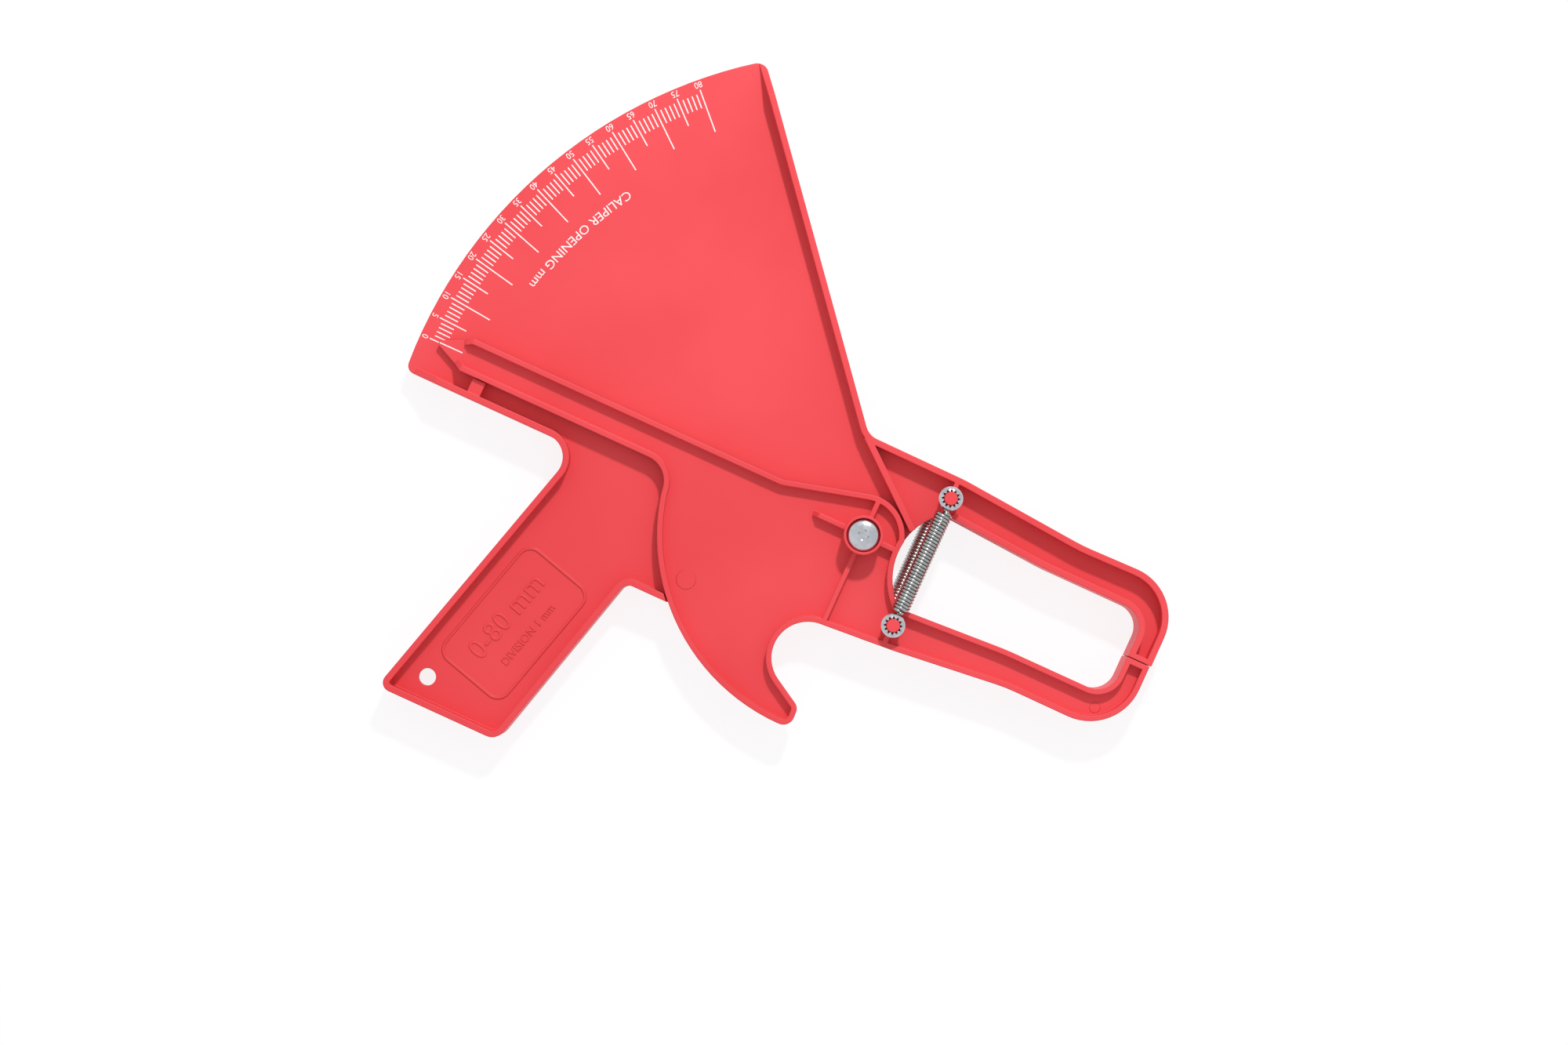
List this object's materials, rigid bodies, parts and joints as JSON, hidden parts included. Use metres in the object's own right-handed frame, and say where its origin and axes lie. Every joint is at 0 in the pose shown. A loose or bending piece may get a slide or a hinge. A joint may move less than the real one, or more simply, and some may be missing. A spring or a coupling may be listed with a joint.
{
  "type": "skinfold caliper",
  "caption": "Hand-held skinfold caliper: a graduated fan with a grip, a sprung lever with pointer, finger hook and jaw, on one pivot.",
  "frame": {"origin": "pivot axis at the height of the surface that the caliper lies on, on the flat back of the fixed moulding's pivot boss", "axes": "+X from the pivot to the closed jaw tips, +Y towards the graduated fan, +Z from the resting side to the side that is read"},
  "size_m": [0.2761, 0.25, 0.0231],
  "materials": {
    "red_plastic": "satin-gloss injection moulded",
    "zinc_plate": "bright zinc plate",
    "spring_steel": "nickel-plated wire",
    "acetal": "natural",
    "brass": "knurled",
    "white_print": "pad print ink"
  },
  "bodies": {
    "body": {"scale_body": "red_plastic", "pivot_screw": "zinc_plate", "head_washer": "zinc_plate", "pivot_sleeve": "zinc_plate", "thrust_washer": "acetal", "threaded_insert": "brass", "front_upper_ring": "zinc_plate", "rear_upper_ring": "zinc_plate"},
    "lever": {"lever": "red_plastic", "front_lower_ring": "zinc_plate", "rear_lower_ring": "zinc_plate"},
    "front_spring": {"front_spring": "spring_steel"},
    "front_spring_tail": {"front_spring_end": "spring_steel"},
    "rear_spring": {"rear_spring": "spring_steel"},
    "rear_spring_tail": {"rear_spring_end": "spring_steel"},
    "front_spring_hook": {"front_spring_hook": "spring_steel"},
    "rear_spring_hook": {"rear_spring_hook": "spring_steel"}
  },
  "joints": [
    {"name": "lever_pivot", "type": "hinge", "parent": "body", "child": "lever", "pos_m": [0, 0, 0.0115], "axis": [0, 0, -1], "range_deg": [0, 46], "stiffness_Nm_per_rad": 0.3, "springref_deg": -166.16},
    {"name": "front_spring_swing", "type": "hinge", "parent": "body", "child": "front_spring", "pos_m": [0.022, 0.0238, 0.02], "axis": [0, 0, -1], "range_deg": [0, 23]},
    {"name": "front_spring_stretch", "type": "slide", "parent": "front_spring", "child": "front_spring_tail", "axis": [0, -1, 0], "range_m": [0, 0.01342], "deforming": ["front_spring"]},
    {"name": "rear_spring_swing", "type": "hinge", "parent": "body", "child": "rear_spring", "pos_m": [0.0197, 0.0238, 0.0037], "axis": [0, 0, -1], "range_deg": [0, 23]},
    {"name": "rear_spring_stretch", "type": "slide", "parent": "rear_spring", "child": "rear_spring_tail", "axis": [0, -1, 0], "range_m": [0, 0.01162], "deforming": ["rear_spring"]},
    {"name": "front_hook_swing", "type": "hinge", "parent": "lever", "child": "front_spring_hook", "pos_m": [0.022, -0.0238, 0.02], "axis": [0, 0, 1], "range_deg": [0, 23]},
    {"name": "rear_hook_swing", "type": "hinge", "parent": "lever", "child": "rear_spring_hook", "pos_m": [0.0197, -0.0238, 0.0037], "axis": [0, 0, 1], "range_deg": [0, 23]}
  ],
  "couplings": [
    {"joint": "front_spring_swing", "follows": "lever_pivot", "ratio": 0.5},
    {"joint": "front_spring_stretch", "follows": "lever_pivot", "m_per_rad": 0.016701},
    {"joint": "rear_spring_swing", "follows": "lever_pivot", "ratio": 0.5},
    {"joint": "rear_spring_stretch", "follows": "lever_pivot", "m_per_rad": 0.014462},
    {"joint": "front_hook_swing", "follows": "lever_pivot", "ratio": 0.5},
    {"joint": "rear_hook_swing", "follows": "lever_pivot", "ratio": 0.5}
  ]
}
